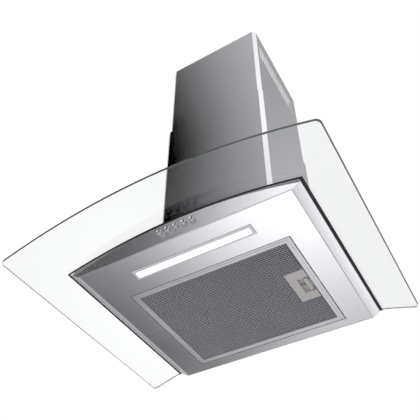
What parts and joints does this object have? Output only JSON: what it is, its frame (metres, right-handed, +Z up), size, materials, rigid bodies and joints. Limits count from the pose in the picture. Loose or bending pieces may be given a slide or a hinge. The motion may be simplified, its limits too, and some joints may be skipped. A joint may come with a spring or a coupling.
{
  "type": "chimney range hood",
  "caption": "Wall chimney range hood with a bent glass canopy, lit steel box, tilting grease filter, push buttons, blower with damper flaps, and a telescopic duct cover.",
  "frame": {"origin": "middle of the wall rail's back face, where the hood hangs on the wall", "axes": "+X across the hood to its right as seen from behind it, +Y into the wall, +Z up"},
  "size_m": [0.6, 0.484, 0.8261],
  "materials": {
    "brushed_stainless": "brushed, satin",
    "galvanised_steel": "galvanised",
    "clear_glass": "polished, clear",
    "black_rubber": "matt",
    "aluminium_frame": "satin",
    "aluminium_mesh": "woven mesh",
    "beige_plastic": "fine texture",
    "chrome": "polished",
    "frosted_lens": "frosted",
    "light_trim": "satin",
    "black_plastic": "moulded",
    "grey_plastic": "moulded",
    "circuit_board": "solder mask",
    "spring_steel": "drawn",
    "zinc_screw": "zinc plated"
  },
  "bodies": {
    "hood": {"glass_canopy": "clear_glass", "glass_seal": "black_rubber", "canopy_body": "brushed_stainless", "top_plate": "brushed_stainless", "light_bezel": "light_trim", "light_lens": "frosted_lens", "light_holder": "galvanised_steel", "light_board": "circuit_board", "light_driver": "grey_plastic", "switch_block": "black_plastic", "control_board": "circuit_board", "blower_housing": "galvanised_steel", "scroll_casing": "grey_plastic", "motor": "black_plastic", "motor_bracket": "galvanised_steel", "capacitor": "grey_plastic", "terminal_box": "black_plastic", "cable_gland": "black_plastic", "outlet_collar": "black_plastic", "damper_pin": "zinc_screw", "chimney_lower": "brushed_stainless", "wall_rail": "galvanised_steel", "rail_screw_left": "zinc_screw", "rail_screw_right": "zinc_screw", "hanger_hook": "galvanised_steel", "upper_bracket": "galvanised_steel", "bracket_screw_left": "zinc_screw", "bracket_screw_right": "zinc_screw", "glass_screw_1": "zinc_screw", "glass_screw_2": "zinc_screw", "glass_screw_3": "zinc_screw", "glass_screw_4": "zinc_screw"},
    "filter": {"filter_frame": "aluminium_frame", "filter_mesh_outer": "aluminium_mesh", "filter_mesh_core": "aluminium_mesh", "filter_mesh_inner": "aluminium_mesh", "latch_housing": "beige_plastic", "latch_spring": "spring_steel"},
    "latch": {"latch_slide": "beige_plastic"},
    "fan": {"impeller": "grey_plastic", "motor_shaft": "spring_steel"},
    "flap_front": {"damper_flap_front": "grey_plastic"},
    "flap_rear": {"damper_flap_rear": "grey_plastic"},
    "upper_cover": {"chimney_upper": "brushed_stainless"},
    "push_1": {"button_1": "chrome"},
    "push_2": {"button_2": "chrome"},
    "push_3": {"button_3": "chrome"},
    "push_4": {"button_4": "chrome"},
    "push_5": {"button_5": "chrome"}
  },
  "joints": [
    {"name": "button_1_press", "type": "slide", "parent": "hood", "child": "push_1", "axis": [0, 1, 0], "range_m": [0, 0.003], "stiffness_N_per_m": 150},
    {"name": "button_2_press", "type": "slide", "parent": "hood", "child": "push_2", "axis": [0, 1, 0], "range_m": [0, 0.003], "stiffness_N_per_m": 150},
    {"name": "button_3_press", "type": "slide", "parent": "hood", "child": "push_3", "axis": [0, 1, 0], "range_m": [0, 0.003], "stiffness_N_per_m": 150},
    {"name": "button_4_press", "type": "slide", "parent": "hood", "child": "push_4", "axis": [0, 1, 0], "range_m": [0, 0.003], "stiffness_N_per_m": 150},
    {"name": "button_5_press", "type": "slide", "parent": "hood", "child": "push_5", "axis": [0, 1, 0], "range_m": [0, 0.003], "stiffness_N_per_m": 150},
    {"name": "filter_tilt", "type": "hinge", "parent": "hood", "child": "filter", "pos_m": [-0.1632, -0.155, -0.2], "axis": [0, 1, 0], "range_deg": [0, 70]},
    {"name": "latch_pull", "type": "slide", "parent": "filter", "child": "latch", "axis": [-1, 0, 0], "range_m": [0, 0.005], "stiffness_N_per_m": 150, "deforming": ["latch_spring"]},
    {"name": "fan_spin", "type": "hinge", "parent": "hood", "child": "fan", "pos_m": [0, -0.127, -0.022], "axis": [1, 0, 0], "continuous": true},
    {"name": "flap_front_lift", "type": "hinge", "parent": "hood", "child": "flap_front", "pos_m": [0, -0.095, 0.072], "axis": [-1, 0, 0], "range_deg": [0, 70]},
    {"name": "flap_rear_lift", "type": "hinge", "parent": "hood", "child": "flap_rear", "pos_m": [0, -0.095, 0.072], "axis": [1, 0, 0], "range_deg": [0, 70]},
    {"name": "cover_slide", "type": "slide", "parent": "hood", "child": "upper_cover", "axis": [0, 0, 1], "range_m": [-0.2, 0.1]}
  ],
  "couplings": [
    {"joint": "flap_rear_lift", "follows": "flap_front_lift", "ratio": 1}
  ]
}
